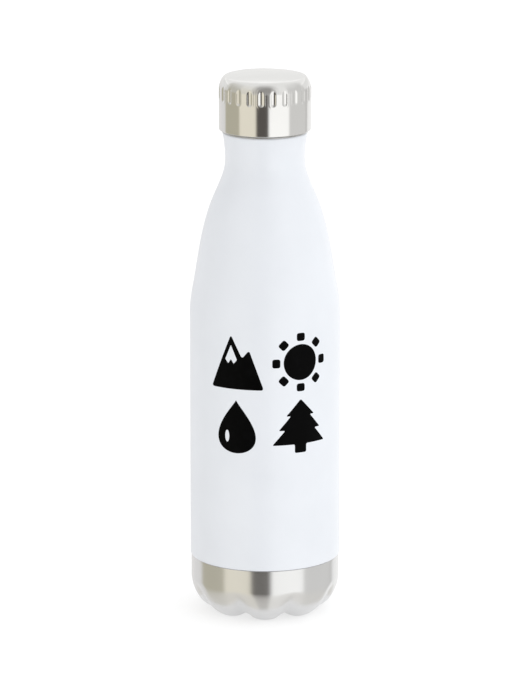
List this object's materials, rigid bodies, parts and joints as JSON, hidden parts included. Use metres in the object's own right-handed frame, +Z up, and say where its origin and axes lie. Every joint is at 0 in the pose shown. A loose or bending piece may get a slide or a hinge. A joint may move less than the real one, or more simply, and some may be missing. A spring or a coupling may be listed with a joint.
{
  "type": "insulated water bottle",
  "caption": "Double-walled vacuum steel water bottle with tapered shoulder, petal-shaped steel base cup and fluted screw cap that unscrews and lifts clear of the mouth.",
  "frame": {"origin": "centre of the plane that the bottle stands on", "axes": "+Z up the bottle's axis to the cap, -Y towards the printed front"},
  "size_m": [0.071, 0.071, 0.258],
  "materials": {
    "white_coat": "powder coated, satin",
    "brushed_cup": "satin brushed",
    "raw_steel": "mill finish",
    "seal_glass": "fused solder glass",
    "getter_alloy": "sintered powder",
    "liner_steel": "electropolished",
    "copper": "bright copper foil",
    "polished_cap": "polished stainless steel",
    "cap_plastic": "moulded polypropylene",
    "plug_plastic": "moulded polypropylene",
    "foam": "expanded foam",
    "silicone": "translucent silicone"
  },
  "bodies": {
    "bottle": {"outer_body": "white_coat", "outer_shoulder": "white_coat", "base_cup": "brushed_cup", "outer_bottom": "raw_steel", "vacuum_seal_bead": "seal_glass", "getter_clip": "raw_steel", "getter_pill": "getter_alloy", "liner_body": "liner_steel", "liner_neck": "liner_steel", "inner_bottom": "liner_steel", "copper_foil": "copper"},
    "plug_core": {"plug_foam": "foam"},
    "cap": {"cap_shell": "polished_cap", "cap_insert": "cap_plastic", "cap_foam": "foam", "threaded_plug": "plug_plastic", "plug_cover": "plug_plastic", "sealing_ring": "silicone"}
  },
  "joints": [
    {"name": "cap_lift", "type": "slide", "parent": "bottle", "child": "plug_core", "axis": [0, 0, 1], "range_m": [0, 0.024]},
    {"name": "cap_turn", "type": "hinge", "parent": "plug_core", "child": "cap", "pos_m": [0, 0, 0.245], "axis": [0, 0, 1], "range_deg": [0, 2160]}
  ],
  "couplings": [
    {"joint": "cap_lift", "follows": "cap_turn", "m_per_rad": 0.00063662}
  ]
}
